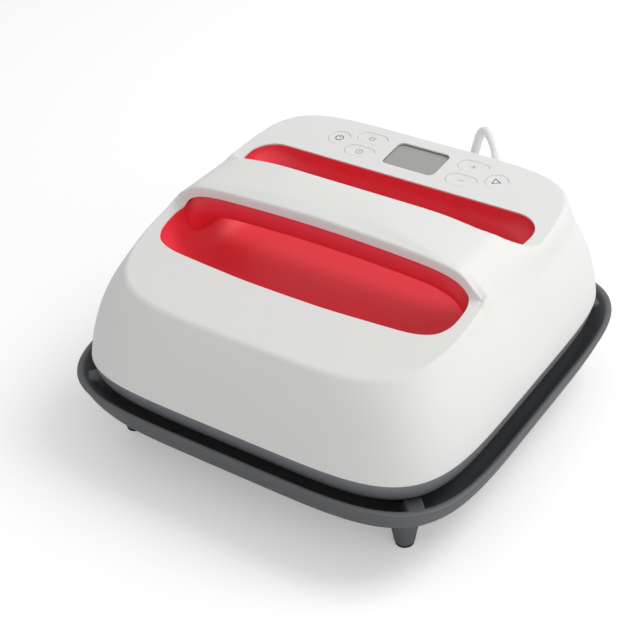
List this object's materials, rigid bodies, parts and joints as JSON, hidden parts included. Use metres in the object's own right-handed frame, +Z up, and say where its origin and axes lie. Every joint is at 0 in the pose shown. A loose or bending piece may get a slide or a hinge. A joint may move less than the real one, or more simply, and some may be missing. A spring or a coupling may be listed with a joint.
{
  "type": "handheld heat press",
  "caption": "Square handheld heat press with a through grip in a recessed hand opening, display and buttons, resting in a footed safety base, with a coiled mains cord.",
  "frame": {"origin": "on the table, under the middle of the safety base", "axes": "+Z up, +X along the grip, -Y the front with the wide hand opening, +Y the rear with the control panel and the cord"},
  "size_m": [0.2984, 0.3968, 0.153],
  "materials": {
    "white_shell": "satin",
    "red_plastic": "satin",
    "slate_plastic": "satin",
    "charcoal_plastic": "matte",
    "heat_mat": "woven glass faced with silicone",
    "foot_rubber": "matte",
    "coated_aluminium": "non-stick coating",
    "ceramic": "matte",
    "bright_metal": "bright",
    "steel": "plated",
    "brass": "bright",
    "cutoff_case": "matte",
    "circuit_board": "solder mask",
    "winding_tape": "tape",
    "relay_case": "moulded",
    "black_plastic": "matte",
    "lead_insulation": "silicone",
    "ribbon": "flat cable",
    "lcd_grey": "glass face",
    "lcd_window": "clear",
    "cord_white": "satin"
  },
  "bodies": {
    "base": {"base_tray": "charcoal_plastic", "base_corner_guides": "charcoal_plastic", "base_heat_mat": "heat_mat", "base_foot_pads": "foot_rubber", "cord_coil": "cord_white", "cord_tie": "black_plastic", "power_plug": "cord_white", "plug_pins": "brass"},
    "press": {"top_shell": "white_shell", "grip_liner": "red_plastic", "grip_underside": "red_plastic", "grip_screws": "steel", "skirt_frame": "slate_plastic", "shell_screws": "steel", "heat_plate": "coated_aluminium", "plate_spacers": "ceramic", "plate_screws": "steel", "heating_element": "steel", "element_clips": "bright_metal", "plate_insulation": "ceramic", "heat_shield": "bright_metal", "thermistor": "brass", "thermal_cutoff": "cutoff_case", "power_board": "circuit_board", "board_standoffs": "brass", "power_board_screws": "steel", "transformer": "winding_tape", "power_relay": "relay_case", "capacitors": "black_plastic", "mains_fuse": "bright_metal", "terminal_block": "ceramic", "element_leads": "lead_insulation", "mains_leads": "lead_insulation", "ribbon_cable": "ribbon", "control_board": "circuit_board", "control_board_screws": "steel", "lcd_module": "lcd_grey", "lcd_window": "lcd_window", "tact_switches": "black_plastic", "buzzer": "black_plastic", "cord_clamp": "slate_plastic", "inner_cord": "cord_white", "strain_relief": "cord_white", "power_cord": "cord_white"},
    "power_key": {"power_button": "white_shell"},
    "temperature_key": {"temperature_button": "white_shell"},
    "timer_key": {"timer_button": "white_shell"},
    "plus_key": {"plus_button": "white_shell"},
    "minus_key": {"minus_button": "white_shell"},
    "start_key": {"start_button": "white_shell"}
  },
  "joints": [
    {"name": "press_lift", "type": "slide", "parent": "base", "child": "press", "axis": [0, 0, 1], "range_m": [0, 0.08]},
    {"name": "power_press", "type": "slide", "parent": "press", "child": "power_key", "axis": [0, 0.0896, -0.996], "range_m": [0, 0.0006], "stiffness_N_per_m": 400, "springref_m": -0.0004},
    {"name": "temperature_press", "type": "slide", "parent": "press", "child": "temperature_key", "axis": [0, 0.0896, -0.996], "range_m": [0, 0.0006], "stiffness_N_per_m": 400, "springref_m": -0.0004},
    {"name": "timer_press", "type": "slide", "parent": "press", "child": "timer_key", "axis": [0, 0.0896, -0.996], "range_m": [0, 0.0006], "stiffness_N_per_m": 400, "springref_m": -0.0004},
    {"name": "plus_press", "type": "slide", "parent": "press", "child": "plus_key", "axis": [0, 0.0896, -0.996], "range_m": [0, 0.0006], "stiffness_N_per_m": 400, "springref_m": -0.0004},
    {"name": "minus_press", "type": "slide", "parent": "press", "child": "minus_key", "axis": [0, 0.0896, -0.996], "range_m": [0, 0.0006], "stiffness_N_per_m": 400, "springref_m": -0.0004},
    {"name": "start_press", "type": "slide", "parent": "press", "child": "start_key", "axis": [0, 0.0896, -0.996], "range_m": [0, 0.0006], "stiffness_N_per_m": 400, "springref_m": -0.0004}
  ]
}
